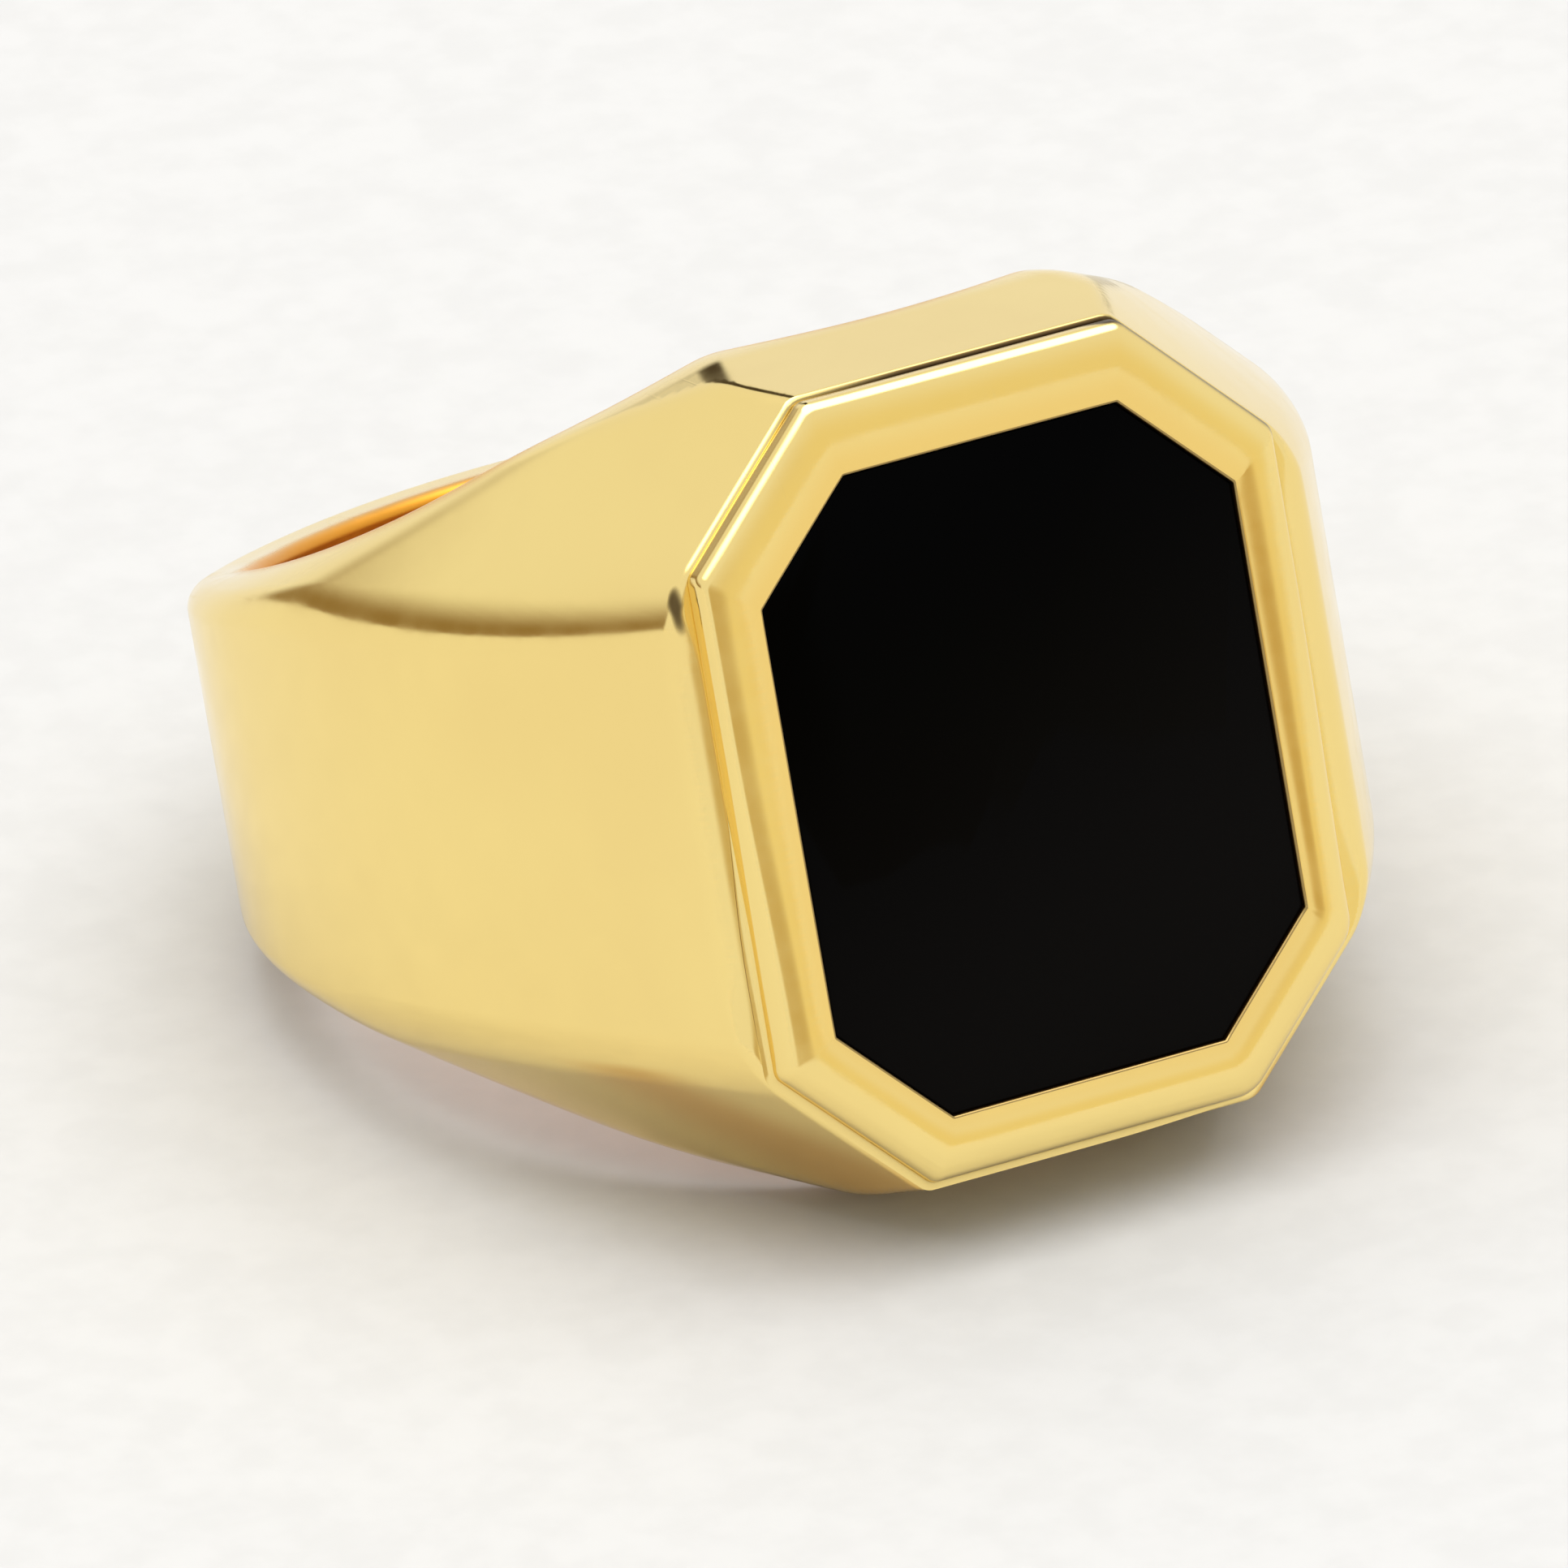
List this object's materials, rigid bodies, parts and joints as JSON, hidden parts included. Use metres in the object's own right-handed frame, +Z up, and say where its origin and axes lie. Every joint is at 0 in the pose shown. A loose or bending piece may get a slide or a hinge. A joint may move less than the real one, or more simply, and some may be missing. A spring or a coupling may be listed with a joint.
{
  "type": "signet ring",
  "caption": "Gold signet ring with flared shoulders and an octagonal frame round a flat, polished black onyx, lying on its side.",
  "frame": {"origin": "centre of the finger hole, on the finger axis, midway along the head", "axes": "+Z up from the surface that the ring lies on, the stone faces -Y and a little up, X across the finger. The finger axis leans 16 degrees from +Z towards +Y"},
  "size_m": [0.0228, 0.0279, 0.0183],
  "materials": {
    "gold": "polished yellow gold, faint hairline scratches",
    "onyx": "mirror polished",
    "cement": "dull"
  },
  "bodies": {
    "root": {"shank": "gold", "head_block": "gold", "bezel_frame": "gold", "stone_bearing": "gold", "cement_bed": "cement", "onyx_tablet": "onyx"}
  },
  "joints": []
}
